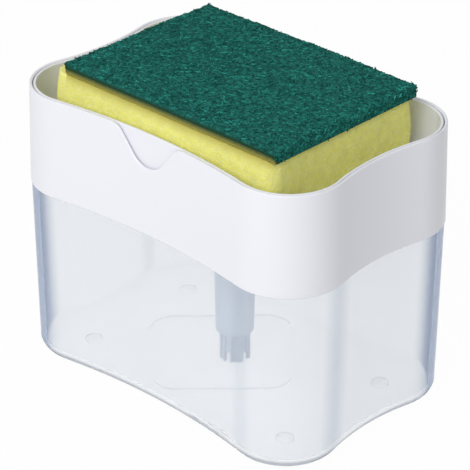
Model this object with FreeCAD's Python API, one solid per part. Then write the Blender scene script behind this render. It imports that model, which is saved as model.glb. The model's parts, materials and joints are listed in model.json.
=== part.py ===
# Soap pump caddy: a frosted reservoir, a white top frame whose deck carries a soap pump, and a
# sprung press tray that holds a scouring sponge. Millimetres, +Z up, the long side along X and the
# thumb notch on the front face (-Y). The origin is on the table under the middle of the base.
import FreeCAD, Part
import math
import os

Vector = FreeCAD.Vector
up = Vector(0, 0, 1)

# Plan of the body, over its four lobes, at the joint between reservoir and frame
body_width = 138.0
body_depth = 92.0
corner_radius = 21.1
front_waist = 4.3
side_waist = 2.9

# Heights above the table
seam_height = 69.0
frame_height = 37.8

# Reservoir
reservoir_shoulder = 0.3
reservoir_taper = 1.0
reservoir_wall = 2.2
reservoir_floor = 2.0
base_round = 4.6
ridge_side_share = 0.576
ridge_corner = 10.0
ridge_width = 2.2
ridge_height = 1.1
ridge_offset_x = -4.5
ridge_offset_y = -2.0
ridge_turn_degrees = 45.0

# Foot pads, one under each lobe
foot_radius = 3.2
foot_proud = 0.5
foot_sunk = 0.7
foot_clearance = 0.1

# Top frame
frame_wall = 1.1
frame_flare = 0.8
frame_rim_round = 0.5
frame_foot_round = 0.4
deck_thickness = 2.0
lap_depth = 4.0
lap_skirt = 0.9
lap_clearance = 0.2
lap_head_gap = 0.3
well_depth = 13.0
well_clearance = 4.5
well_wall = 2.0
notch_width = 34.6
notch_depth = 12.5
notch_offset_x = -1.9
notch_shoulder_share = 0.38
notch_bottom_share = 0.5

# Press tray
tray_gap = 0.3
tray_wall = 1.0
tray_floor = 1.8
tray_depth = 18.0
tray_recess = 0.2
tray_rim_round = 0.5
tray_bottom_round = 2.5
tray_boss_wall = 2.1
press_stroke = 11.0
stroke_margin = 1.5

# Outlet nozzle in the tray's floor
nozzle_wall = 1.3
nozzle_flange_reach = 1.6
nozzle_flange = 1.2
nozzle_web = 3.4
nozzle_orifice_radius = 1.5
nozzle_dish_radius = 4.0
nozzle_dish_depth = 0.7

# Pump cylinder, from its flange down
bore_radius = 5.7
cylinder_wall = 1.55
cylinder_taper = 0.8
thread_height = 1.3
flange_overlap = 4.0
flange_thickness = 2.0
gasket_thickness = 1.2
seat_thickness = 1.5
seat_hole_radius = 1.5
pocket_clearance = 0.9
neck_tail = 1.0
fit_clearance = 0.05
thread_clearance = 0.1

# Collar nut
collar_height = 6.0
collar_wall = 4.5
collar_grips = 14
grip_radius = 0.9

# Cylinder cap
cap_flange = 1.6
cap_reach = 1.9
cap_plug = 8.0

# Inlet tube
tube_wall = 1.0
tube_bore_radius = 3.6
tube_rib_height = 0.45
tube_rib_width = 1.1
tube_ribs = 12
tube_slots = 5
tube_slot_width = 2.0
tube_slot_height = 4.0
tube_floor_clearance = 0.5
tube_length_share = 0.193
spigot_in_tube_share = 0.55

# Plunger
stem_radius = 3.6
stem_bore_radius = 2.0
stem_clearance = 0.08
stem_flange = 2.0
stem_flange_gap = 1.0
stop_gap = 0.3
outlet_seat_depth = 8.0
outlet_web = 1.4
outlet_hole_radius = 1.2
outlet_pocket_clearance = 0.5
rod_clearance = 0.4
rod_head = 2.0
rod_head_gap = 1.0
rod_top_gap = 3.7
seal_height = 5.0
seal_web = 1.6
seal_lip = 1.0
seal_clearance = 0.06

# Valve balls and the cage over the lower one
inlet_ball_radius = 2.5
inlet_ball_lift = 1.8
outlet_ball_radius = 1.8
ball_gap = 0.1
cage_thickness = 1.5
cage_hole_radius = 1.9
cage_slots = 3
cage_slot_width = 1.6
cage_slot_reach = 2.0

# Return spring
spring_wire_radius = 0.45
spring_mean_radius = 4.2
spring_turns = 7
spring_end_gap = 0.05

# Sponge
sponge_side_gap = 2.1
sponge_left_gap = 8.1
sponge_right_gap = 11.4
sponge_corner = 1.5
foam_height = 23.6
foam_draw_in = 0.9
foam_levels = 5
pad_thickness = 4.9
pad_setback = 6.4
pad_edge_round = 1.2
soft_gap = 0.3

# How far a cut runs past the face it opens, and how near a height counts as the same
cut_overrun = 1.0
same_height = 0.01

# Fillets never take more than this share of the wall that they round
round_limit_share = 0.45

# Plan arcs: concave faces about centres outside the body, tangent to the lobes
lobe_x = body_width / 2 - corner_radius
lobe_y = body_depth / 2 - corner_radius
front_radius = (lobe_x ** 2 + front_waist ** 2) / (2 * front_waist) - corner_radius
side_radius = (lobe_y ** 2 + side_waist ** 2) / (2 * side_waist) - corner_radius
front_centre = body_depth / 2 - front_waist + front_radius
side_centre = body_width / 2 - side_waist + side_radius

# Room in the tray between its waisted walls, and the sponge and ridge that fit the plan
tray_inset = frame_flare + frame_wall + tray_gap
tray_room = body_width / 2 - side_waist - tray_inset - tray_wall
sponge_length = 2 * tray_room - sponge_left_gap - sponge_right_gap
sponge_width = body_depth - 2 * (front_waist + tray_inset + tray_wall + sponge_side_gap)
sponge_middle = (sponge_left_gap - sponge_right_gap) / 2
ridge_side = body_depth * ridge_side_share

# Heights that follow from the sizes above
rim_height = seam_height + frame_height
floor_top = foot_proud + reservoir_floor
deck_bottom = seam_height + lap_depth
deck_top = deck_bottom + deck_thickness
well_top = deck_top - well_depth
well_bottom = well_top - deck_thickness
flange_bottom = well_top + gasket_thickness
flange_top = flange_bottom + flange_thickness
cap_top = flange_top + cap_flange
cap_bottom = flange_top - cap_plug
neck_bottom = well_bottom - collar_height - neck_tail
tube_bottom = floor_top + tube_floor_clearance
cylinder_bottom = tube_bottom + (flange_top - tube_bottom) * tube_length_share
inlet_seat = cylinder_bottom + seat_thickness
tray_top = rim_height - tray_recess
tray_floor_top = tray_top - tray_depth
tray_floor_bottom = tray_floor_top - tray_floor
boss_bottom = cap_top + press_stroke + stroke_margin
nozzle_flange_bottom = tray_floor_top - nozzle_flange
stem_top = nozzle_flange_bottom - nozzle_web
outlet_seat = stem_top - outlet_seat_depth
stem_flange_top = cap_bottom - stop_gap
stem_bottom = stem_flange_top - stem_flange
seal_bottom = stem_bottom - seal_height
rod_bottom = seal_bottom - rod_head
rod_top = outlet_seat - outlet_web - rod_top_gap
foam_bottom = tray_floor_top + soft_gap
foam_top = foam_bottom + foam_height

# Radii that follow
cylinder_radius = bore_radius + cylinder_wall
neck_radius = cylinder_radius + thread_height
flange_radius = neck_radius + flange_overlap
well_radius = flange_radius + well_clearance
nozzle_bore_radius = stem_radius + stem_clearance
nozzle_radius = nozzle_bore_radius + nozzle_wall
boss_bore_radius = nozzle_radius + fit_clearance
boss_radius = boss_bore_radius + tray_boss_wall
nozzle_flange_radius = nozzle_radius + nozzle_flange_reach
rod_radius = stem_bore_radius - rod_clearance
inlet_pocket_radius = inlet_ball_radius + pocket_clearance
outlet_pocket_radius = outlet_ball_radius + outlet_pocket_clearance

# A ball in a 45 degree seat touches it at this share of its radius, out and down from its centre
seat_share = math.sqrt(0.5)
inlet_ball_centre = inlet_seat + 2 * seat_share * inlet_ball_radius - seat_hole_radius + ball_gap
outlet_ball_centre = outlet_seat + 2 * seat_share * outlet_ball_radius - outlet_hole_radius + ball_gap
cage_bottom = inlet_ball_centre + inlet_ball_radius + inlet_ball_lift + ball_gap
cage_top = cage_bottom + cage_thickness


def reservoir_inset(height):
    # how far the reservoir's outside stands in from the seam's plan at a height
    return reservoir_shoulder + reservoir_taper * (seam_height - height) / (seam_height - foot_proud)


def frame_inset(height):
    # the frame leans in from the seam up to its rim
    return frame_flare * (height - seam_height) / (rim_height - seam_height)


def outline(inset, height):
    # the waisted plan, moved in by an inset: four lobes tangent to four concave arcs
    lobe = corner_radius - inset
    front = front_radius + inset
    side = side_radius + inset
    apart = math.hypot(front_centre, side_centre)
    along = ((front + lobe) ** 2 - (side + lobe) ** 2 + apart ** 2) / (2 * apart)
    across = math.sqrt((front + lobe) ** 2 - along ** 2)
    toward_x = side_centre / apart
    toward_y = -front_centre / apart
    centre_x = along * toward_x + across * toward_y
    centre_y = front_centre + along * toward_y - across * toward_x
    centre = Vector(centre_x, centre_y, 0)
    front_middle = Vector(0, front_centre, 0)
    side_middle = Vector(side_centre, 0, 0)
    meets_front = front_middle + (centre - front_middle).normalize() * front
    meets_side = side_middle + (centre - side_middle).normalize() * side
    bisector = (meets_front + meets_side - centre * 2).normalize()
    crown = centre + bisector * lobe
    waist_y = front_centre - front
    waist_x = side_centre - side

    def at(point, sign_x, sign_y):
        return Vector(point.x * sign_x, point.y * sign_y, height)

    stops = [
        (at(meets_front, -1, -1), Vector(0, -waist_y, height), at(meets_front, 1, -1)),
        (at(meets_front, 1, -1), at(crown, 1, -1), at(meets_side, 1, -1)),
        (at(meets_side, 1, -1), Vector(waist_x, 0, height), at(meets_side, 1, 1)),
        (at(meets_side, 1, 1), at(crown, 1, 1), at(meets_front, 1, 1)),
        (at(meets_front, 1, 1), Vector(0, waist_y, height), at(meets_front, -1, 1)),
        (at(meets_front, -1, 1), at(crown, -1, 1), at(meets_side, -1, 1)),
        (at(meets_side, -1, 1), Vector(-waist_x, 0, height), at(meets_side, -1, -1)),
        (at(meets_side, -1, -1), at(crown, -1, -1), at(meets_front, -1, -1)),
    ]
    return Part.Wire([Part.Arc(*stop).toShape() for stop in stops])


def block(low_inset, low, high_inset, high):
    # a solid between two heights whose plan goes from one inset to another
    return Part.makeLoft([outline(low_inset, low), outline(high_inset, high)], True, True)


def disc(radius, low, high):
    return Part.makeCylinder(radius, high - low, Vector(0, 0, low), up)


def ring(outer, inner, low, high):
    bore = disc(inner, low - cut_overrun, high + cut_overrun)
    return disc(outer, low, high).cut(bore)


def turned(points):
    # a solid of revolution from its half section, given as (radius, height)
    corners = [Vector(radius, 0, height) for radius, height in points]
    face = Part.Face(Part.makePolygon(corners + corners[:1]))
    return face.revolve(Vector(0, 0, 0), up, 360)


def edges_at(shape, height):
    return [edge for edge in shape.Edges if all(abs(v.Z - height) < same_height for v in edge.Vertexes)]


def around(shape, count):
    # copies of a shape at even turns about the pump's axis
    copies = []
    for index in range(count):
        copy = shape.copy()
        copy.rotate(Vector(0, 0, 0), up, 360 * index / count)
        copies.append(copy)
    return copies


def rounded_rectangle(length, width, radius, height, middle=0):
    # lines and quarter arcs, anticlockwise from the front right
    x = length / 2
    y = width / 2
    bend = radius * (1 - seat_share)
    corners = [(1, -1), (1, 1), (-1, 1), (-1, -1)]
    arcs = []
    for sign_x, sign_y in corners:
        ends = [(x - radius, y), (x - bend, y - bend), (x, y - radius)]
        points = [Vector(middle + px * sign_x, py * sign_y, height) for px, py in ends]
        arcs.append(points if sign_x * sign_y < 0 else points[::-1])
    edges = []
    for index, points in enumerate(arcs):
        following = arcs[(index + 1) % len(arcs)]
        edges.append(Part.Arc(*points).toShape())
        edges.append(Part.LineSegment(points[2], following[0]).toShape())
    return Part.Wire(edges)


def plate(wire, thickness):
    return Part.Face(wire).extrude(up * thickness)


def reservoir_block(inside_by, low, high):
    # a solid parallel to the reservoir's outside, a given distance inside it
    return block(reservoir_inset(low) + inside_by, low, reservoir_inset(high) + inside_by, high)


def frame_block(inside_by, low, high):
    # the same for the frame
    return block(frame_inset(low) + inside_by, low, frame_inset(high) + inside_by, high)


def make_reservoir():
    outside = reservoir_block(0, foot_proud, seam_height)
    outside = outside.makeFillet(base_round, edges_at(outside, foot_proud))
    lip_inset = frame_inset(deck_bottom) + lap_skirt + lap_clearance
    lip_top = deck_bottom - lap_head_gap
    outside = outside.fuse(block(lip_inset, seam_height, lip_inset, lip_top))
    inside = reservoir_block(reservoir_wall, floor_top, lip_top + cut_overrun)
    inside_round = base_round * reservoir_wall / (reservoir_wall + reservoir_floor)
    inside = inside.makeFillet(inside_round, edges_at(inside, floor_top))
    tank = outside.cut(inside)
    for x, y in foot_places():
        pocket = Part.makeCylinder(foot_radius + foot_clearance, foot_proud + foot_sunk, Vector(x, y, 0), up)
        tank = tank.cut(pocket)
    return tank.fuse(make_floor_ridge()).removeSplitter()


def make_floor_ridge():
    # low rounded-square ridge on the reservoir's floor, turned to point at the waists
    inner_side = ridge_side - 2 * ridge_width
    inner_corner = ridge_corner - ridge_width
    outer = plate(rounded_rectangle(ridge_side, ridge_side, ridge_corner, floor_top), ridge_height)
    inner = plate(rounded_rectangle(inner_side, inner_side, inner_corner, floor_top), ridge_height)
    ridge = outer.cut(inner)
    ridge.rotate(Vector(0, 0, 0), up, ridge_turn_degrees)
    ridge.translate(Vector(ridge_offset_x, ridge_offset_y, 0))
    return ridge


def foot_places():
    return [(lobe_x * sign_x, lobe_y * sign_y) for sign_x in (-1, 1) for sign_y in (-1, 1)]


def make_foot_pads():
    height = foot_proud + foot_sunk
    pads = []
    for x, y in foot_places():
        pad = Part.makeCylinder(foot_radius, height, Vector(x, y, 0), up)
        pads.append(pad.makeFillet(foot_proud * round_limit_share, edges_at(pad, 0)))
    return Part.makeCompound(pads)


def make_rim_cut():
    # all that lies above the rim; in front its foot dips into the thumb notch, which has rounded
    # shoulders that run through short straights into a round bottom
    half = notch_width / 2
    shoulder_radius = half * notch_shoulder_share
    bottom_radius = half * notch_bottom_share
    bend = shoulder_radius + bottom_radius
    between = math.hypot(half, notch_depth - bend)
    fall = math.atan2(notch_depth - bend, half) + math.asin(bend / between)
    low = rim_height - notch_depth
    high = rim_height + 2 * cut_overrun
    side = body_width / 2 + abs(notch_offset_x) + cut_overrun
    front = -(body_depth / 2 + cut_overrun)

    def shoulder(angle):
        x = half - shoulder_radius * math.sin(angle)
        return x, rim_height - shoulder_radius * (1 - math.cos(angle))

    def bottom(angle):
        return bottom_radius * math.sin(angle), low + bottom_radius * (1 - math.cos(angle))

    def at(point, sign=1):
        return Vector(notch_offset_x + point[0] * sign, front, point[1])

    edges = []
    for sign in (-1, 1):
        edges.append(Part.Arc(at(shoulder(0), sign), at(shoulder(fall / 2), sign), at(shoulder(fall), sign)))
        edges.append(Part.LineSegment(at(shoulder(fall), sign), at(bottom(fall), sign)))
        edges.append(Part.LineSegment(at((half, rim_height), sign), at((side, rim_height), sign)))
        edges.append(Part.LineSegment(at((side, rim_height), sign), at((side, high), sign)))
    edges.append(Part.Arc(at(bottom(fall), -1), at(bottom(0)), at(bottom(fall))))
    edges.append(Part.LineSegment(at((side, high), -1), at((side, high))))
    wire = Part.Wire(Part.__sortEdges__([edge.toShape() for edge in edges]))
    notched = Part.Face(wire).extrude(Vector(0, -front, 0))
    plain = Part.makeBox(2 * side, -front, high - rim_height, Vector(-side, 0, rim_height))
    return notched, plain


def rim_edges(frame):
    # both loops of the rim, which dip through the thumb notch; lines across the wall are left out
    half = notch_width / 2 + same_height

    def is_high(vertex):
        dip = notch_depth if vertex.Y < 0 and abs(vertex.X - notch_offset_x) < half else 0
        return vertex.Z > rim_height - dip - same_height

    def crosses_wall(edge):
        along = edge.tangentAt(edge.FirstParameter)
        return abs(along.y) > seat_share and abs(edge.CenterOfMass.x - notch_offset_x) < half

    return [edge for edge in frame.Edges if all(map(is_high, edge.Vertexes)) and not crosses_wall(edge)]


def make_top_frame():
    over_rim = rim_height + cut_overrun
    frame = frame_block(0, seam_height, over_rim)
    foot_round = min(frame_foot_round, lap_skirt * round_limit_share)
    frame = frame.makeFillet(foot_round, edges_at(frame, seam_height))
    frame = frame.cut(frame_block(frame_wall, deck_top, over_rim))
    for above in make_rim_cut():
        frame = frame.cut(above)
    frame = frame.removeSplitter()
    rim_round = min(frame_rim_round, frame_wall * round_limit_share)
    frame = frame.makeFillet(rim_round, rim_edges(frame))
    frame = frame.cut(frame_block(lap_skirt, seam_height - cut_overrun, deck_bottom))
    frame = frame.fuse(disc(well_radius + well_wall, well_bottom, deck_top))
    frame = frame.cut(disc(well_radius, well_top, deck_top + cut_overrun))
    frame = frame.cut(disc(neck_radius + thread_clearance, well_bottom - cut_overrun, deck_top))
    return frame.removeSplitter()


def make_press_tray():
    outside = block(tray_inset, tray_floor_bottom, tray_inset, tray_top)
    outside = outside.makeFillet(tray_bottom_round, edges_at(outside, tray_floor_bottom))
    inset = tray_inset + tray_wall
    inside = block(inset, tray_floor_top, inset, tray_top + cut_overrun)
    inside_round = tray_bottom_round * tray_wall / (tray_wall + tray_floor)
    inside = inside.makeFillet(inside_round, edges_at(inside, tray_floor_top))
    tray = outside.cut(inside)
    rim_round = min(tray_rim_round, tray_wall * round_limit_share)
    tray = tray.makeFillet(rim_round, edges_at(tray, tray_top))
    tray = tray.fuse(disc(boss_radius, boss_bottom, tray_floor_bottom))
    tray = tray.cut(disc(boss_bore_radius, boss_bottom - cut_overrun, tray_floor_top + cut_overrun))
    seat = disc(nozzle_flange_radius + fit_clearance, nozzle_flange_bottom, tray_floor_top + cut_overrun)
    tray = tray.cut(seat)
    return tray.removeSplitter()


def make_outlet_nozzle():
    # button flush with the tray's floor, and a sleeve that drops over the plunger's stem
    dish = tray_floor_top - nozzle_dish_depth
    return turned([
        (nozzle_bore_radius, boss_bottom),
        (nozzle_radius, boss_bottom),
        (nozzle_radius, nozzle_flange_bottom),
        (nozzle_flange_radius, nozzle_flange_bottom),
        (nozzle_flange_radius, tray_floor_top),
        (nozzle_dish_radius, tray_floor_top),
        (nozzle_orifice_radius, dish),
        (nozzle_orifice_radius, stem_top),
        (nozzle_bore_radius, stem_top),
    ])


def make_pump_cylinder():
    tube_length = cylinder_bottom - tube_bottom
    spigot_radius = tube_bore_radius - fit_clearance
    spigot_bottom = cylinder_bottom - tube_length * spigot_in_tube_share
    seat_top = inlet_seat + inlet_pocket_radius - seat_hole_radius
    return turned([
        (flange_radius, flange_bottom),
        (flange_radius, flange_top),
        (bore_radius, flange_top),
        (bore_radius, cage_bottom),
        (inlet_pocket_radius, cage_bottom),
        (inlet_pocket_radius, seat_top),
        (seat_hole_radius, inlet_seat),
        (seat_hole_radius, spigot_bottom),
        (spigot_radius, spigot_bottom),
        (spigot_radius, cylinder_bottom),
        (cylinder_radius - cylinder_taper, cylinder_bottom),
        (cylinder_radius, neck_bottom),
        (neck_radius, neck_bottom),
        (neck_radius, flange_bottom),
    ])


def make_flange_gasket():
    return ring(flange_radius, neck_radius + thread_clearance, well_top, flange_bottom)


def make_collar_nut():
    radius = neck_radius + collar_wall
    low = well_bottom - collar_height
    nut = ring(radius, neck_radius + thread_clearance, low, well_bottom)
    tall = collar_height + 2 * cut_overrun
    groove = Part.makeCylinder(grip_radius, tall, Vector(radius, 0, low - cut_overrun), up)
    return nut.cut(Part.makeCompound(around(groove, collar_grips)))


def make_cylinder_cap():
    stem_way = stem_radius + stem_clearance
    plug = bore_radius - fit_clearance
    return turned([
        (stem_way, cap_bottom),
        (plug, cap_bottom),
        (plug, flange_top),
        (bore_radius + cylinder_wall + cap_reach, flange_top),
        (bore_radius + cylinder_wall + cap_reach, cap_top),
        (stem_way, cap_top),
    ])


def make_inlet_tube():
    # ribbed tail that stands almost on the floor, slotted at its foot so that soap can enter
    radius = tube_bore_radius + tube_wall
    height = cylinder_bottom - tube_bottom
    ribs_top = radius + tube_rib_height
    rib = Part.makeBox(ribs_top - tube_bore_radius, tube_rib_width, height)
    rib.translate(Vector(tube_bore_radius, -tube_rib_width / 2, tube_bottom))
    rib = rib.common(disc(ribs_top, tube_bottom, cylinder_bottom))
    tube = disc(radius, tube_bottom, cylinder_bottom).multiFuse(around(rib, tube_ribs))
    tube = tube.cut(disc(tube_bore_radius, tube_bottom - cut_overrun, cylinder_bottom + cut_overrun))
    slot_top = tube_bottom + tube_slot_height - tube_slot_width / 2
    slot_reach = ribs_top + cut_overrun
    slot = Part.makeBox(slot_reach, tube_slot_width, slot_top - tube_bottom + cut_overrun)
    slot.translate(Vector(0, -tube_slot_width / 2, tube_bottom - cut_overrun))
    crown = Part.makeCylinder(tube_slot_width / 2, slot_reach, Vector(0, 0, slot_top), Vector(1, 0, 0))
    return tube.cut(Part.makeCompound(around(slot.fuse(crown), tube_slots))).removeSplitter()


def make_valve_cage():
    # slotted washer that keeps the inlet ball in its pocket and carries the spring
    cage = ring(bore_radius - fit_clearance, cage_hole_radius, cage_bottom, cage_top)
    tall = cage_thickness + 2 * cut_overrun
    slot = Part.makeBox(cage_hole_radius + cage_slot_reach, cage_slot_width, tall)
    slot.translate(Vector(0, -cage_slot_width / 2, cage_bottom - cut_overrun))
    return cage.cut(Part.makeCompound(around(slot, cage_slots)))


def make_ball(radius, centre):
    return Part.makeSphere(radius, Vector(0, 0, centre))


def make_plunger_stem():
    flange = bore_radius - stem_flange_gap
    seat_top = outlet_seat + outlet_pocket_radius - outlet_hole_radius
    return turned([
        (stem_bore_radius, stem_bottom),
        (flange, stem_bottom),
        (flange, stem_flange_top),
        (stem_radius, stem_flange_top),
        (stem_radius, stem_top),
        (outlet_pocket_radius, stem_top),
        (outlet_pocket_radius, seat_top),
        (outlet_hole_radius, outlet_seat),
        (outlet_hole_radius, outlet_seat - outlet_web),
        (stem_bore_radius, outlet_seat - outlet_web),
    ])


def make_piston_rod():
    head = disc(bore_radius - rod_head_gap, rod_bottom, seal_bottom)
    return head.fuse(disc(rod_radius, seal_bottom, rod_top)).removeSplitter()


def make_piston_seal():
    # lipped both ways: a groove in each end leaves an inner sleeve and an outer lip
    outer = bore_radius - seal_clearance
    inner = rod_radius + fit_clearance
    middle = (seal_bottom + stem_bottom) / 2
    seal = ring(outer, inner, seal_bottom, stem_bottom)
    top_groove = ring(outer - seal_lip, inner + seal_lip, middle + seal_web / 2, stem_bottom + cut_overrun)
    low_groove = ring(outer - seal_lip, inner + seal_lip, seal_bottom - cut_overrun, middle - seal_web / 2)
    return seal.cut(top_groove).cut(low_groove)


def bent_between(start, heading, end):
    # the arc that leaves a start along its heading and reaches an end
    chord = end - start
    along = Vector(chord).normalize()
    side = (heading - along * heading.dot(along)).normalize()
    lean = math.acos(max(-1, min(1, heading.dot(along))))
    middle = start + chord / 2 + side * (chord.Length / 2 * math.tan(lean / 2))
    return Part.Arc(start, middle, end).toShape()


def make_return_spring():
    # one wire wound as a helix: two arcs for each quarter turn, tangent where they meet
    low = cage_top + spring_end_gap + spring_wire_radius
    high = rod_bottom - spring_end_gap - spring_wire_radius
    quarters = 4 * spring_turns
    rise = (high - low) / (2 * math.pi * spring_turns)

    def on_helix(turn):
        x = spring_mean_radius * math.cos(turn)
        return Vector(x, spring_mean_radius * math.sin(turn), low + rise * turn)

    def heading(turn):
        x = -spring_mean_radius * math.sin(turn)
        return Vector(x, spring_mean_radius * math.cos(turn), rise).normalize()

    edges = []
    for quarter in range(quarters):
        turn = quarter * math.pi / 2
        start, leaving = on_helix(turn), heading(turn)
        end, arriving = on_helix(turn + math.pi / 2), heading(turn + math.pi / 2)
        chord = end - start
        both = leaving + arriving
        spread = 4 - both.dot(both)
        lead = (math.sqrt(chord.dot(both) ** 2 + spread * chord.dot(chord)) - chord.dot(both)) / spread
        joint = (start + leaving * lead + end - arriving * lead) / 2
        edges.append(bent_between(start, leaving, joint))
        edges.append(bent_between(end, arriving * -1, joint))
    path = Part.Wire(Part.__sortEdges__(edges))
    section = Part.Wire([Part.makeCircle(spring_wire_radius, on_helix(0), heading(0))])
    wire = path.makePipeShell([section], True, False)
    turn_gap = 2 * math.pi * rise - 2 * spring_wire_radius
    print("return spring: gap between turns", round(turn_gap, 2), "volume", round(wire.Volume, 1))
    print("return spring: section times length", round(math.pi * spring_wire_radius ** 2 * path.Length, 1))
    return wire


def make_sponge_foam():
    # squashed block: its sides swell at mid height and draw in under the pad and at the floor
    wires = []
    for level in range(foam_levels):
        share = level / (foam_levels - 1)
        drawn = 2 * foam_draw_in * (1 - math.sin(math.pi * share))
        height = foam_bottom + foam_height * share
        length = sponge_length - drawn
        wires.append(rounded_rectangle(length, sponge_width - drawn, sponge_corner, height, sponge_middle))
    return Part.makeLoft(wires, True, False)


def make_scour_pad():
    # flush with the foam on the right, set back from its left end
    length = sponge_length - pad_setback
    middle = sponge_middle + pad_setback / 2
    pad = plate(rounded_rectangle(length, sponge_width, sponge_corner, foam_top, middle), pad_thickness)
    edge_round = min(pad_edge_round, pad_thickness * round_limit_share)
    return pad.makeFillet(edge_round, edges_at(pad, foam_top + pad_thickness))


def main():
    os.makedirs("parts", exist_ok=True)
    nodes = {
        "reservoir": make_reservoir(),
        "foot_pads": make_foot_pads(),
        "top_frame": make_top_frame(),
        "press_tray": make_press_tray(),
        "outlet_nozzle": make_outlet_nozzle(),
        "pump_cylinder": make_pump_cylinder(),
        "flange_gasket": make_flange_gasket(),
        "collar_nut": make_collar_nut(),
        "cylinder_cap": make_cylinder_cap(),
        "inlet_tube": make_inlet_tube(),
        "valve_cage": make_valve_cage(),
        "inlet_ball": make_ball(inlet_ball_radius, inlet_ball_centre),
        "plunger_stem": make_plunger_stem(),
        "piston_rod": make_piston_rod(),
        "piston_seal": make_piston_seal(),
        "outlet_ball": make_ball(outlet_ball_radius, outlet_ball_centre),
        "return_spring": make_return_spring(),
        "sponge_foam": make_sponge_foam(),
        "scour_pad": make_scour_pad(),
    }
    for name, shape in nodes.items():
        box = shape.BoundBox
        print(name, "solids", len(shape.Solids), "valid", shape.isValid(), "volume", round(shape.Volume, 1),
              "z", round(box.ZMin, 2), round(box.ZMax, 2))
        shape.exportStep(f"parts/{name}.step")


main()
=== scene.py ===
import json
import math
import random

import bmesh
import bpy
from mathutils import Matrix, Vector, noise


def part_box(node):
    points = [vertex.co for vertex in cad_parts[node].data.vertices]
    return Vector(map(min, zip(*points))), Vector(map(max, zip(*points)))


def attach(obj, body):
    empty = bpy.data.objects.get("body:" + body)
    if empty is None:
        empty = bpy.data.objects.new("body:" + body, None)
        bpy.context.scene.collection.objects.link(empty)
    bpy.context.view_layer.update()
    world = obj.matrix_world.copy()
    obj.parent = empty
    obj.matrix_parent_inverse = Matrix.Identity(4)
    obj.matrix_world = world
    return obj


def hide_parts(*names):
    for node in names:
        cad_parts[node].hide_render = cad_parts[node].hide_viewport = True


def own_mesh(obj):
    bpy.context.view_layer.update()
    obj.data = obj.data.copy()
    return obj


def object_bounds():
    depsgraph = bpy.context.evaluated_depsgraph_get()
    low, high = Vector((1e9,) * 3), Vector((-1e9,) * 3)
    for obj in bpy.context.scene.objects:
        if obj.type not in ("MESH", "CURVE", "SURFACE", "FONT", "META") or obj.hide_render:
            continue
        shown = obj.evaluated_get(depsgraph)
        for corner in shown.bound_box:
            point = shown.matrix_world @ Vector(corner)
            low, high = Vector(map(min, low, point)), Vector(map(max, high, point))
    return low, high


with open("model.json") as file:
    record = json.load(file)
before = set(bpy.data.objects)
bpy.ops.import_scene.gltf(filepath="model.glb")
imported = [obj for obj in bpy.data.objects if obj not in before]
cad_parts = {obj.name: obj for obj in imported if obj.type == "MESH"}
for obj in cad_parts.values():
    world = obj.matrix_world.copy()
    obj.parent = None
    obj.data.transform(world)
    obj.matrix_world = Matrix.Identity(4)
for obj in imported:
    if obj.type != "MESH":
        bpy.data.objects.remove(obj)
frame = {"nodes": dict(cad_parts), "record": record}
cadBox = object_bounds()  # the solids' own box, before any piece is dressed
nodes = frame["nodes"]
print("frame loaded,", len(nodes), "nodes")


# Node helpers

def addNode(tree, kind, **settings):
    made = tree.nodes.new("ShaderNode" + kind)
    for key, value in settings.items():
        setattr(made, key, value)
    return made


def setInputs(node, **values):
    for key, value in values.items():
        node.inputs[key.replace("_", " ")].default_value = value
    return node


def newGroup(name, inputs, outputs):
    group = bpy.data.node_groups.new(name, "ShaderNodeTree")
    for label, kind, value in inputs:
        socket = group.interface.new_socket(name=label, in_out="INPUT", socket_type="NodeSocket" + kind)
        socket.default_value = value
    for label, kind in outputs:
        group.interface.new_socket(name=label, in_out="OUTPUT", socket_type="NodeSocket" + kind)
    entry = group.nodes.new("NodeGroupInput")
    leave = group.nodes.new("NodeGroupOutput")
    return group, entry.outputs, leave.inputs


def noiseAt(tree, scale, detail=2.0):
    place = addNode(tree, "TexCoord")
    texture = setInputs(addNode(tree, "TexNoise"), Scale=scale, Detail=detail, Roughness=0.5)
    tree.links.new(place.outputs["Object"], texture.inputs["Vector"])
    return texture


def mapRange(tree, source, fromLow, fromHigh, toLow, toHigh):
    ranged = addNode(tree, "MapRange")
    setInputs(ranged, From_Min=fromLow, From_Max=fromHigh, To_Min=toLow, To_Max=toHigh)
    tree.links.new(source, ranged.inputs["Value"])
    return ranged.outputs["Result"]


def absRange(tree, source, fromLow, fromHigh, toLow, toHigh):
    size = addNode(tree, "Math", operation="ABSOLUTE")
    tree.links.new(source, size.inputs[0])
    return mapRange(tree, size.outputs[0], fromLow, fromHigh, toLow, toHigh)


def splitVector(tree, source):
    split = addNode(tree, "SeparateXYZ")
    tree.links.new(source, split.inputs["Vector"])
    return split.outputs


def mixColors(tree, factor, first, second, blend="MIX"):
    mixed = addNode(tree, "Mix", data_type="RGBA", blend_type=blend)
    for socket, value in ((mixed.inputs[0], factor), (mixed.inputs[6], first), (mixed.inputs[7], second)):
        if isinstance(value, bpy.types.NodeSocket):
            tree.links.new(value, socket)
        else:
            socket.default_value = value
    return mixed.outputs[2]


# Shared effects

skinNoise = {"cloudScale": 22.0, "cloudDetail": 3.0, "cloudSpan": (0.3, 0.7), "darkest": 0.6,
             "grainScale": 1400.0}


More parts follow.
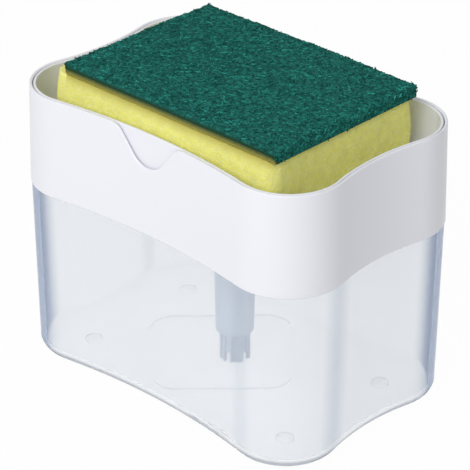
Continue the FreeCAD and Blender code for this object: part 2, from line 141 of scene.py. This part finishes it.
def makeMouldedSkin():  # slow drift of tone and a fine grain, as moulded plastic has
    group, given, put = newGroup(
        "mouldedSkin",
        [("Tone", "Color", (0.8, 0.8, 0.8, 1)), ("Drift", "Float", 0.04),
         ("Rough", "Float", 0.35), ("Play", "Float", 0.05)],
        [("Color", "Color"), ("Roughness", "Float"), ("Height", "Float")],
    )
    cloud = noiseAt(group, skinNoise["cloudScale"], skinNoise["cloudDetail"])
    grain = noiseAt(group, skinNoise["grainScale"])
    shade = mapRange(group, cloud.outputs["Fac"], *skinNoise["cloudSpan"], skinNoise["darkest"], 1.0)
    group.links.new(mixColors(group, given["Drift"], given["Tone"], shade, "MULTIPLY"), put["Color"])
    swing = mapRange(group, cloud.outputs["Fac"], *skinNoise["cloudSpan"], -1.0, 1.0)
    rough = addNode(group, "Math", operation="MULTIPLY_ADD")
    group.links.new(swing, rough.inputs[0])
    group.links.new(given["Play"], rough.inputs[1])
    group.links.new(given["Rough"], rough.inputs[2])
    group.links.new(rough.outputs[0], put["Roughness"])
    group.links.new(grain.outputs["Fac"], put["Height"])
    return group


def makeSpeckle():  # fine cells and larger clouds, for foam specks and matted fibre
    group, given, put = newGroup(
        "speckle",
        [("Small", "Float", 1500.0), ("Large", "Float", 420.0)],
        [("Cells", "Float"), ("Clouds", "Float"), ("Height", "Float")],
    )
    place = addNode(group, "TexCoord")
    cells = addNode(group, "TexVoronoi", feature="F1")
    clouds = setInputs(addNode(group, "TexNoise"), Detail=3.0, Roughness=0.6)
    for texture, scale in ((cells, "Small"), (clouds, "Large")):
        group.links.new(place.outputs["Object"], texture.inputs["Vector"])
        group.links.new(given[scale], texture.inputs["Scale"])
    total = addNode(group, "Math", operation="ADD")
    group.links.new(cells.outputs["Distance"], total.inputs[0])
    group.links.new(clouds.outputs["Fac"], total.inputs[1])
    group.links.new(cells.outputs["Distance"], put["Cells"])
    group.links.new(clouds.outputs["Fac"], put["Clouds"])
    group.links.new(total.outputs[0], put["Height"])
    return group


mouldedSkin = makeMouldedSkin()
speckle = makeSpeckle()
print("shared effects made")


# Materials

def newMaterial(name):
    material = bpy.data.materials.new(name)
    material.use_nodes = True
    tree = material.node_tree
    shader = tree.nodes["Principled BSDF"]
    return material, tree, shader


def placeGroup(tree, group, **values):
    placed = addNode(tree, "Group")
    placed.node_tree = group
    return setInputs(placed, **values)


def addBump(tree, shader, height, strength, distance):
    bump = setInputs(addNode(tree, "Bump"), Strength=strength, Distance=distance)
    tree.links.new(height, bump.inputs["Height"])
    tree.links.new(bump.outputs["Normal"], shader.inputs["Normal"])


def mouldedMaterial(name, look):
    material, tree, shader = newMaterial(name)
    skin = placeGroup(tree, mouldedSkin, Tone=look["tone"], Drift=look["drift"],
                      Rough=look["rough"], Play=look["play"])
    tree.links.new(skin.outputs["Color"], shader.inputs["Base Color"])
    tree.links.new(skin.outputs["Roughness"], shader.inputs["Roughness"])
    addBump(tree, shader, skin.outputs["Height"], look["bump"], look["bumpDepth"])
    for label, value in look.get("shader", {}).items():
        shader.inputs[label].default_value = value
    return material


def multiplyAll(tree, sources):
    total = sources[0]
    for source in sources[1:]:
        both = addNode(tree, "Math", operation="MULTIPLY")
        tree.links.new(total, both.inputs[0])
        tree.links.new(source, both.inputs[1])
        total = both.outputs[0]
    return total


def clearMaterial(name, look):  # clear plastic with painted shade: grey along its bottom round, and bluish grey at its corners where the wall is met edge on
    material = mouldedMaterial(name, look)
    tree = material.node_tree
    base = tree.nodes["Principled BSDF"].inputs["Base Color"]
    skin = base.links[0].from_socket
    edge = addNode(tree, "LayerWeight")
    side = addNode(tree, "NewGeometry")
    place = splitVector(tree, addNode(tree, "TexCoord").outputs["Object"])
    slope = splitVector(tree, side.outputs["Normal"])["Z"]
    outside = mapRange(tree, side.outputs["Backfacing"], 0.0, 1.0, 1.0, 0.0)
    # painted shade: bluish grey where the outside wall is met edge on, kept to the corner lobes
    corners = multiplyAll(tree, [
        mapRange(tree, edge.outputs["Facing"], look["edgeFrom"], look["edgeTo"], 0.0, 1.0),
        outside,
        absRange(tree, slope, *look["upright"], 1.0, 0.0),
        absRange(tree, place["X"], *look["cornerX"], 0.0, 1.0),
        absRange(tree, place["Y"], *look["cornerY"], 0.0, 1.0),
    ])
    # painted shade: grey along the bottom round, where the outside faces down
    foot = multiplyAll(tree, [mapRange(tree, slope, *look["footSlope"], 1.0, 0.0), outside])
    tint = mixColors(tree, corners, skin, look["edgeOnShade"])
    tree.links.new(mixColors(tree, foot, tint, look["footShade"]), base)
    return material


whiteShell = {"tone": (0.86, 0.87, 0.92, 1), "drift": 0.04, "rough": 0.34, "play": 0.05,
              "bump": 0.06, "bumpDepth": 0.0001, "shader": {"IOR": 1.48}}
# the tank's edge and foot colours are painted shade laid over its clear plastic
frostedTank = {"tone": (0.93, 0.945, 0.965, 1), "drift": 0.03, "rough": 0.09, "play": 0.02,
               "bump": 0.02, "bumpDepth": 0.0001,
               "edgeOnShade": (0.23, 0.30, 0.45, 1), "edgeFrom": 0.35, "edgeTo": 0.65,
               "upright": (0.2, 0.7), "cornerX": (0.040, 0.052), "cornerY": (0.014, 0.028),
               "footShade": (0.34, 0.37, 0.42, 1), "footSlope": (-0.35, -0.10),
               "shader": {"IOR": 1.07, "Transmission Weight": 0.865}}
pumpPlastic = {"tone": (0.54, 0.60, 0.70, 1), "drift": 0.08, "rough": 0.45, "play": 0.06,
               "bump": 0.08, "bumpDepth": 0.0001}
paleSeal = {"tone": (0.78, 0.78, 0.75, 1), "drift": 0.10, "rough": 0.6, "play": 0.08,
            "bump": 0.15, "bumpDepth": 0.0001}
clearFoot = {"tone": (0.97, 0.975, 0.98, 1), "drift": 0.02, "rough": 0.12, "play": 0.03,
             "bump": 0.05, "bumpDepth": 0.0001,
             "shader": {"IOR": 1.42, "Transmission Weight": 0.95, "Alpha": 0.15}}
springWire = {"tone": (0.58, 0.58, 0.58, 1), "drift": 0.15, "rough": 0.28, "play": 0.08,
              "bump": 0.1, "bumpDepth": 0.00005, "shader": {"Metallic": 1.0}}
valveBall = {"tone": (0.68, 0.68, 0.68, 1), "drift": 0.06, "rough": 0.12, "play": 0.04,
             "bump": 0.03, "bumpDepth": 0.00005, "shader": {"Metallic": 1.0}}
# the dark olive colour mixed in at the foam's top front is a painted shadow under the pad's edge
yellowFoam = {"tone": (0.97, 0.945, 0.27, 1), "speck": (1.0, 1.0, 0.62, 1), "frontShade": (0.50, 0.45, 0.10, 1),
              "small": 1300.0, "large": 300.0, "speckSpan": (0.05, 0.45),
              "cloudSpan": (0.3, 0.7), "cloudLeast": 0.88,
              "rough": 0.95, "bump": 0.5, "bumpDepth": 0.0003, "specular": 0.15}
# the two colours mixed in along the pad's lower front are painted shade under its edge
greenFibre = {"bright": (0.05, 0.49, 0.405, 1), "dark": (0.003, 0.055, 0.045, 1),
              "frontShade": (0.012, 0.055, 0.03, 1), "frontShadeSpan": (0.0, 0.3),
              "frontShadeLow": (0.42, 0.38, 0.085, 1), "frontShadeLowSpan": (0.45, 1.0),
              "small": 1300.0, "large": 900.0, "cloudSpan": (0.35, 0.65), "cloudLeast": 0.15,
              "rough": 0.85, "bump": 0.7, "bumpDepth": 0.0004, "specular": 0.12}


def foamMaterial(name, look):
    material, tree, shader = newMaterial(name)
    pores = placeGroup(tree, speckle, Small=look["small"], Large=look["large"])
    plain = mapRange(tree, pores.outputs["Cells"], *look["speckSpan"], 0.0, 1.0)
    tint = mixColors(tree, plain, look["speck"], look["tone"])
    patch = mapRange(tree, pores.outputs["Clouds"], *look["cloudSpan"], look["cloudLeast"], 1.0)
    # painted shadow: the foam is darkened just under the pad's front edge
    frontShade = addNode(tree, "Attribute", attribute_name="frontShade")
    tint = mixColors(tree, 1.0, tint, patch, "MULTIPLY")
    tree.links.new(mixColors(tree, frontShade.outputs["Fac"], tint, look["frontShade"]), shader.inputs["Base Color"])
    shader.inputs["Roughness"].default_value = look["rough"]
    shader.inputs["Specular IOR Level"].default_value = look["specular"]
    addBump(tree, shader, pores.outputs["Height"], look["bump"], look["bumpDepth"])
    return material


def fibreMaterial(name, look):
    material, tree, shader = newMaterial(name)
    tangle = placeGroup(tree, speckle, Small=look["small"], Large=look["large"])
    strand = addNode(tree, "Attribute", attribute_name="shade")
    blend = addNode(tree, "Math", operation="MULTIPLY")
    clouds = mapRange(tree, tangle.outputs["Clouds"], *look["cloudSpan"], look["cloudLeast"], 1.0)
    tree.links.new(clouds, blend.inputs[0])
    tree.links.new(strand.outputs["Fac"], blend.inputs[1])
    # painted shade: the pad's lower front side darkens, then turns olive towards the foam
    frontShade = addNode(tree, "Attribute", attribute_name="frontShade")
    tint = mixColors(tree, blend.outputs[0], look["dark"], look["bright"])
    for tone, span in (("frontShade", "frontShadeSpan"), ("frontShadeLow", "frontShadeLowSpan")):
        tint = mixColors(tree, mapRange(tree, frontShade.outputs["Fac"], *look[span], 0.0, 1.0), tint, look[tone])
    tree.links.new(tint, shader.inputs["Base Color"])
    shader.inputs["Roughness"].default_value = look["rough"]
    shader.inputs["Specular IOR Level"].default_value = look["specular"]
    addBump(tree, shader, tangle.outputs["Height"], look["bump"], look["bumpDepth"])
    return material


materials = {
    "frosted_tank": clearMaterial("frostedTank", frostedTank),
    "white_plastic": mouldedMaterial("whiteShell", whiteShell),
    "pump_plastic": mouldedMaterial("pumpPlastic", pumpPlastic),
    "seal_rubber": mouldedMaterial("paleSeal", paleSeal),
    "foot_rubber": mouldedMaterial("clearFoot", clearFoot),
    "spring_steel": mouldedMaterial("springWire", springWire),
    "valve_steel": mouldedMaterial("valveBall", valveBall),
    "yellow_foam": foamMaterial("yellowFoam", yellowFoam),
    "green_fibre": fibreMaterial("greenFibre", greenFibre),
}
for part in frame["record"]["subparts"]:  # each solid takes its slot's finish
    mesh = nodes[part["node"]].data
    mesh.materials.clear()
    mesh.materials.append(materials[part["material_slot"]])
print("materials made:", len(materials))


# Pieces

def showPiece(name, bm, slotName, body, replaced):
    bmesh.ops.recalc_face_normals(bm, faces=bm.faces)
    mesh = bpy.data.meshes.new(name)
    bm.to_mesh(mesh)
    bm.free()
    mesh.materials.append(materials[slotName])
    piece = bpy.data.objects.new(name, mesh)
    bpy.context.scene.collection.objects.link(piece)
    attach(piece, body)
    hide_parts(replaced)
    print(name, "made with", len(mesh.polygons), "faces")
    return piece


springShape = {"wireRadius": 0.00045, "meanRadius": 0.0042, "turns": 7, "stepsPerTurn": 30,
               "wireSides": 10, "seatGap": 0.00004, "stroke": 0.011}


def makeReturnSpring():  # one wire wound round the pump's axis
    low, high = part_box("return_spring")
    wire, mean, turns = (springShape[key] for key in ("wireRadius", "meanRadius", "turns"))
    steps = turns * springShape["stepsPerTurn"]
    rise = high.z - low.z - 2 * wire
    bm = bmesh.new()
    bmesh.ops.create_circle(bm, segments=springShape["wireSides"], radius=wire)
    stand = Matrix.Translation((mean, 0, low.z + wire)) @ Matrix.Rotation(math.pi / 2, 4, "X")
    bmesh.ops.transform(bm, matrix=stand, verts=bm.verts)
    bmesh.ops.spin(bm, geom=bm.verts[:] + bm.edges[:], cent=(0, 0, 0), axis=(0, 0, 1),
                   dvec=(0, 0, rise / steps), angle=2 * math.pi * turns, steps=steps, use_merge=False)
    bmesh.ops.holes_fill(bm, edges=[edge for edge in bm.edges if edge.is_boundary], sides=0)
    for face in bm.faces:
        face.smooth = True
    spring = showPiece("returnSpring", bm, "spring_steel", "top_assembly", "return_spring")
    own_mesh(spring)


def softSlab(low, high, pitch, corner, layers):  # an even grid with round corners, drawn up into a block
    size = high - low
    bm = bmesh.new()
    bmesh.ops.create_grid(bm, x_segments=round(size.x / pitch), y_segments=round(size.y / pitch), size=0.5)
    bmesh.ops.scale(bm, vec=(size.x, size.y, 1), verts=bm.verts)
    for vert in bm.verts:  # the square corners are drawn in to arcs
        past = Vector((abs(vert.co.x) - size.x / 2 + corner, abs(vert.co.y) - size.y / 2 + corner))
        if past.x > 0 and past.y > 0:
            drawn = past * (max(past) / past.length)
            vert.co.x -= math.copysign(past.x - drawn.x, vert.co.x)
            vert.co.y -= math.copysign(past.y - drawn.y, vert.co.y)
    bmesh.ops.translate(bm, vec=((low.x + high.x) / 2, (low.y + high.y) / 2, low.z), verts=bm.verts)
    raised = bmesh.ops.extrude_face_region(bm, geom=bm.faces[:])["geom"]
    top = [item for item in raised if isinstance(item, bmesh.types.BMVert)]
    bmesh.ops.translate(bm, vec=(0, 0, size.z), verts=top)
    walls = [edge for edge in bm.edges if abs(edge.verts[0].co.z - edge.verts[1].co.z) > size.z / 2]
    bmesh.ops.subdivide_edges(bm, edges=walls, cuts=layers - 1, use_grid_fill=True)
    bmesh.ops.recalc_face_normals(bm, faces=bm.faces)
    bm.normal_update()
    for face in bm.faces:
        face.smooth = True
    return bm


# the height and fade of the painted shadow under the pad's front edge are set here too
foamShape = {"pitch": 0.0009, "corner": 0.005, "layers": 26, "drawIn": 0.0009,
             "poreSpacing": 0.0021, "poreDepth": 0.0004, "poreReach": 0.35,
             "waveLength": 0.018, "waveHeight": 0.0004,
             "frontShadeHeight": 0.005, "frontShadeFade": 1.5, "frontNormal": -0.5, "fill": 0.95}


def makeSpongeFoam():  # block whose sides swell, with pores cut into its skin
    low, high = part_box("sponge_foam")
    bm = softSlab(low, high, foamShape["pitch"], foamShape["corner"], foamShape["layers"])
    frontShadeLayer = bm.verts.layers.float.new("frontShade")
    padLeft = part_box("scour_pad")[0].x
    half = (high - low) / 2
    middle = (low + high) / 2
    moves = []
    for vert in bm.verts:
        share = (vert.co.z - low.z) / (high.z - low.z)
        drawn = foamShape["drawIn"] * (1 - math.sin(math.pi * share))
        wave = noise.noise(vert.co / foamShape["waveLength"]) * foamShape["waveHeight"]
        nearest = noise.voronoi(vert.co / foamShape["poreSpacing"])[0][0]
        pore = foamShape["poreDepth"] * max(0.0, 1 - nearest / foamShape["poreReach"])
        side = Vector((vert.normal.x, vert.normal.y, 0))
        out = vert.co - middle
        spread = middle + Vector((out.x * (1 - drawn / half.x), out.y * (1 - drawn / half.y), out.z))
        moves.append(spread + side * (wave - foamShape["waveHeight"] - pore))
        below = max(0.0, 1 - (high.z - vert.co.z) / foamShape["frontShadeHeight"])
        inFront = vert.normal.y < foamShape["frontNormal"]
        if inFront and vert.co.x > padLeft:  # painted shadow: the front face darkens just under the pad
            vert[frontShadeLayer] = below ** foamShape["frontShadeFade"]
    for vert, place in zip(bm.verts, moves):
        vert.co = place
    foam = showPiece("spongeFoam", bm, "yellow_foam", "sponge", "sponge_foam")


# the pad's painted front shade reaches only a short way back from its front
padShape = {"pitch": 0.00085, "corner": 0.0015, "layers": 8, "topRound": 0.002, "fill": 0.8,
            "tuck": 0.0013, "tuckReach": 0.01, "frontShadeReach": 0.002,
            "ragged": 0.0004, "raggedLength": 0.0012, "raggedLeast": 0.25,
            "waveLength": 0.03, "waveHeight": 0.0005,
            "shade": 0.3, "shadeSwing": 0.45, "shadeLength": 0.0014}
strandShape = {"seed": 11, "count": 6400, "kinds": 9, "sides": 3, "joints": 3, "bend": (-0.7, 0.7),
               "radius": 0.0002, "thickness": (0.7, 1.3), "length": (0.0012, 0.0034),
               "rise": (-0.35, 0.35), "lieFlat": 0.85, "shade": (0.05, 0.85),
               "lowestNormal": -0.5, "frontNormal": -0.3}


def makeStrand(bend):  # a short bent fibre, each joint one unit long
    bm = bmesh.new()
    bmesh.ops.create_circle(bm, segments=strandShape["sides"], radius=1, cap_ends=True)
    bmesh.ops.rotate(bm, matrix=Matrix.Rotation(math.pi / 2, 3, "Y"), verts=bm.verts)
    loop = bm.faces[:]
    for step in range(strandShape["joints"]):
        grown = bmesh.ops.extrude_face_region(bm, geom=loop)["geom"]
        tips = [item for item in grown if isinstance(item, bmesh.types.BMVert)]
        bmesh.ops.translate(bm, vec=(1, bend * (step - 1), 0), verts=tips)
        bmesh.ops.delete(bm, geom=loop if step else [], context="FACES_ONLY")
        loop = [item for item in grown if isinstance(item, bmesh.types.BMFace)]
    bmesh.ops.recalc_face_normals(bm, faces=bm.faces)
    mesh = bpy.data.meshes.new("strand")
    bm.to_mesh(mesh)
    bm.free()
    mesh.attributes.new("shade", "FLOAT", "POINT")
    return mesh


def roundTop(bm, low, high, radius):  # the top's square edges are drawn in to arcs
    half, middle = (high - low) / 2, (low + high) / 2
    for vert in bm.verts:
        out = vert.co - middle
        axis = 0 if half.x - abs(out.x) < half.y - abs(out.y) else 1
        past = Vector((abs(out[axis]) - half[axis] + radius, vert.co.z - high.z + radius))
        if past.x > 0 and past.y > 0:
            drawn = past * (max(past) / past.length)
            vert.co[axis] -= math.copysign(past.x - drawn.x, out[axis])
            vert.co.z -= past.y - drawn.y
    bm.normal_update()


def makeScourPad():  # matted slab with loose fibres over it and along its ragged edges
    low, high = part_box("scour_pad")
    middle = (low + high) / 2
    bm = softSlab(low, high, padShape["pitch"], padShape["corner"], padShape["layers"])
    roundTop(bm, low, high, padShape["topRound"])
    shadeLayer = bm.verts.layers.float.new("shade")
    frontShadeLayer = bm.verts.layers.float.new("frontShade")
    moves = []
    for vert in bm.verts:
        rough = noise.noise(vert.co / padShape["raggedLength"]) * padShape["ragged"]
        flat = Vector((vert.co.x, vert.co.y, 0))
        wave = noise.noise(flat / padShape["waveLength"]) * padShape["waveHeight"]
        share = (vert.co.z - low.z) / (high.z - low.z)
        lift = Vector((0, 0, wave * share))
        ragged = padShape["raggedLeast"] + (1 - padShape["raggedLeast"]) * share
        moves.append(vert.co + lift + vert.normal * (rough - padShape["ragged"]) * ragged)
        swing = noise.noise(vert.co / padShape["shadeLength"])
        vert[shadeLayer] = padShape["shade"] + padShape["shadeSwing"] * swing
        behind = vert.co.y - low.y
        moves[-1].y += padShape["tuck"] * (1 - share) * max(0.0, 1 - behind / padShape["tuckReach"])
        frontShadeShare = max(0.0, 1 - behind / padShape["frontShadeReach"])
        vert[frontShadeLayer] = (1 - share) * frontShadeShare  # painted shade: the pad's lower front side darkens towards the foam
    for vert, place in zip(bm.verts, moves):
        vert.co = place
    draw = random.Random(strandShape["seed"])
    kinds = [makeStrand(draw.uniform(*strandShape["bend"])) for _ in range(strandShape["kinds"])]
    skin = [(vert.co.copy(), vert.normal.copy()) for vert in bm.verts
            if vert.normal.z > strandShape["lowestNormal"] and vert.normal.y > strandShape["frontNormal"]]
    skin.sort(key=lambda item: tuple(item[0]))  # mesh order changes from run to run
    room = (high - low) / 2
    for _ in range(strandShape["count"]):
        place, facing = (item.copy() for item in draw.choice(skin))
        length = draw.uniform(*strandShape["length"])
        thick = strandShape["radius"] * draw.uniform(*strandShape["thickness"])
        along = Vector((draw.uniform(-1, 1), draw.uniform(-1, 1), draw.uniform(*strandShape["rise"])))
        along = (along - facing * along.dot(facing) * strandShape["lieFlat"]).normalized()
        for axis in (0, 1):  # kept from sticking out past the pad's sides
            most = room[axis] - abs(along[axis]) * length / 2
            place[axis] = max(middle[axis] - most, min(middle[axis] + most, place[axis]))
        across = facing.cross(along).normalized()
        turn = Matrix((along, across, along.cross(across))).transposed().to_4x4()
        grow = Matrix.Diagonal((length / strandShape["joints"], thick, thick, 1))
        strand = draw.choice(kinds).copy()
        shade = draw.uniform(*strandShape["shade"])
        strand.attributes["shade"].data.foreach_set("value", [shade] * len(strand.vertices))
        strand.transform(Matrix.Translation(place - along * length / 2) @ turn @ grow)
        bm.from_mesh(strand)
        bpy.data.meshes.remove(strand)
    pad = showPiece("scourPad", bm, "green_fibre", "sponge", "scour_pad")
    for kind in kinds:
        bpy.data.meshes.remove(kind)


makeReturnSpring()
makeSpongeFoam()
makeScourPad()


# Studio

studio = {"lens": 186.93, "sensor": 36.0, "clipStart": 0.01, "aim": (0, 0, 0.05318), "distance": 0.86706,
          "azimuth": 43.606, "elevation": 28.985, "roll": 0.132, "ambient": 0.43,
          "floorSize": 6.0, "floorGlow": 0.97, "floorTone": (0.9, 0.9, 0.9, 1), "floorRough": 0.8}
keyLamp = {"direction": (0.20, -0.74, 0.66), "distance": 1.3, "size": 0.9, "power": 10.0}


def makeCamera():
    turn, tilt = math.radians(studio["azimuth"]), math.radians(studio["elevation"])
    back = Vector((math.sin(turn) * math.cos(tilt), -math.cos(turn) * math.cos(tilt), math.sin(tilt)))
    camera = bpy.data.objects.new("camera", bpy.data.cameras.new("camera"))
    camera.data.lens = studio["lens"]
    camera.data.sensor_width = studio["sensor"]
    camera.data.clip_start = studio["clipStart"]
    camera.location = Vector(studio["aim"]) + back * studio["distance"]
    facing = back.to_track_quat("Z", "Y").to_matrix() @ Matrix.Rotation(math.radians(studio["roll"]), 3, "Z")
    camera.rotation_euler = facing.to_euler()
    bpy.context.scene.collection.objects.link(camera)
    bpy.context.scene.camera = camera


def seenDirectly(tree):  # 1 for rays that show the backdrop, straight or in gloss or glass
    path = addNode(tree, "LightPath")
    total = path.outputs["Is Camera Ray"]
    for label in ("Is Glossy Ray", "Is Transmission Ray"):
        either = addNode(tree, "Math", operation="MAXIMUM")
        tree.links.new(total, either.inputs[0])
        tree.links.new(path.outputs[label], either.inputs[1])
        total = either.outputs[0]
    return total


def makeFloor():
    bm = bmesh.new()
    bmesh.ops.create_grid(bm, x_segments=1, y_segments=1, size=studio["floorSize"] / 2)
    mesh = bpy.data.meshes.new("floor")
    bm.to_mesh(mesh)
    bm.free()
    material, tree, shader = newMaterial("paleFloor")
    shader.inputs["Base Color"].default_value = studio["floorTone"]
    shader.inputs["Roughness"].default_value = studio["floorRough"]
    glow = addNode(tree, "Emission")
    mixed = addNode(tree, "MixShader")
    share = addNode(tree, "Math", operation="MULTIPLY")
    tree.links.new(seenDirectly(tree), share.inputs[0])
    share.inputs[1].default_value = studio["floorGlow"]
    tree.links.new(share.outputs[0], mixed.inputs["Fac"])
    tree.links.new(shader.outputs["BSDF"], mixed.inputs[1])
    tree.links.new(glow.outputs["Emission"], mixed.inputs[2])
    tree.links.new(mixed.outputs["Shader"], tree.nodes["Material Output"].inputs["Surface"])
    mesh.materials.append(material)
    floor = bpy.data.objects.new("floor", mesh)
    bpy.context.scene.collection.objects.link(floor)


def makeWorld():
    world = bpy.data.worlds.new("paleRoom")
    world.use_nodes = True
    tree = world.node_tree
    background = tree.nodes["Background"]
    background.inputs["Color"].default_value = (1, 1, 1, 1)
    strength = mapRange(tree, seenDirectly(tree), 0.0, 1.0, studio["ambient"], 1.0)
    tree.links.new(strength, background.inputs["Strength"])
    bpy.context.scene.world = world


def makeKeyLamp():
    data = bpy.data.lights.new("key", "AREA")
    data.energy = keyLamp["power"]
    data.size = keyLamp["size"]
    light = bpy.data.objects.new("key", data)
    toward = Vector(keyLamp["direction"]).normalized()
    light.location = (cadBox[0] + cadBox[1]) / 2 + toward * keyLamp["distance"]
    light.rotation_euler = toward.to_track_quat("Z", "Y").to_euler()
    bpy.context.scene.collection.objects.link(light)


makeCamera()
makeFloor()
makeWorld()
makeKeyLamp()
bpy.context.scene.view_settings.view_transform = "Standard"
print("studio set")
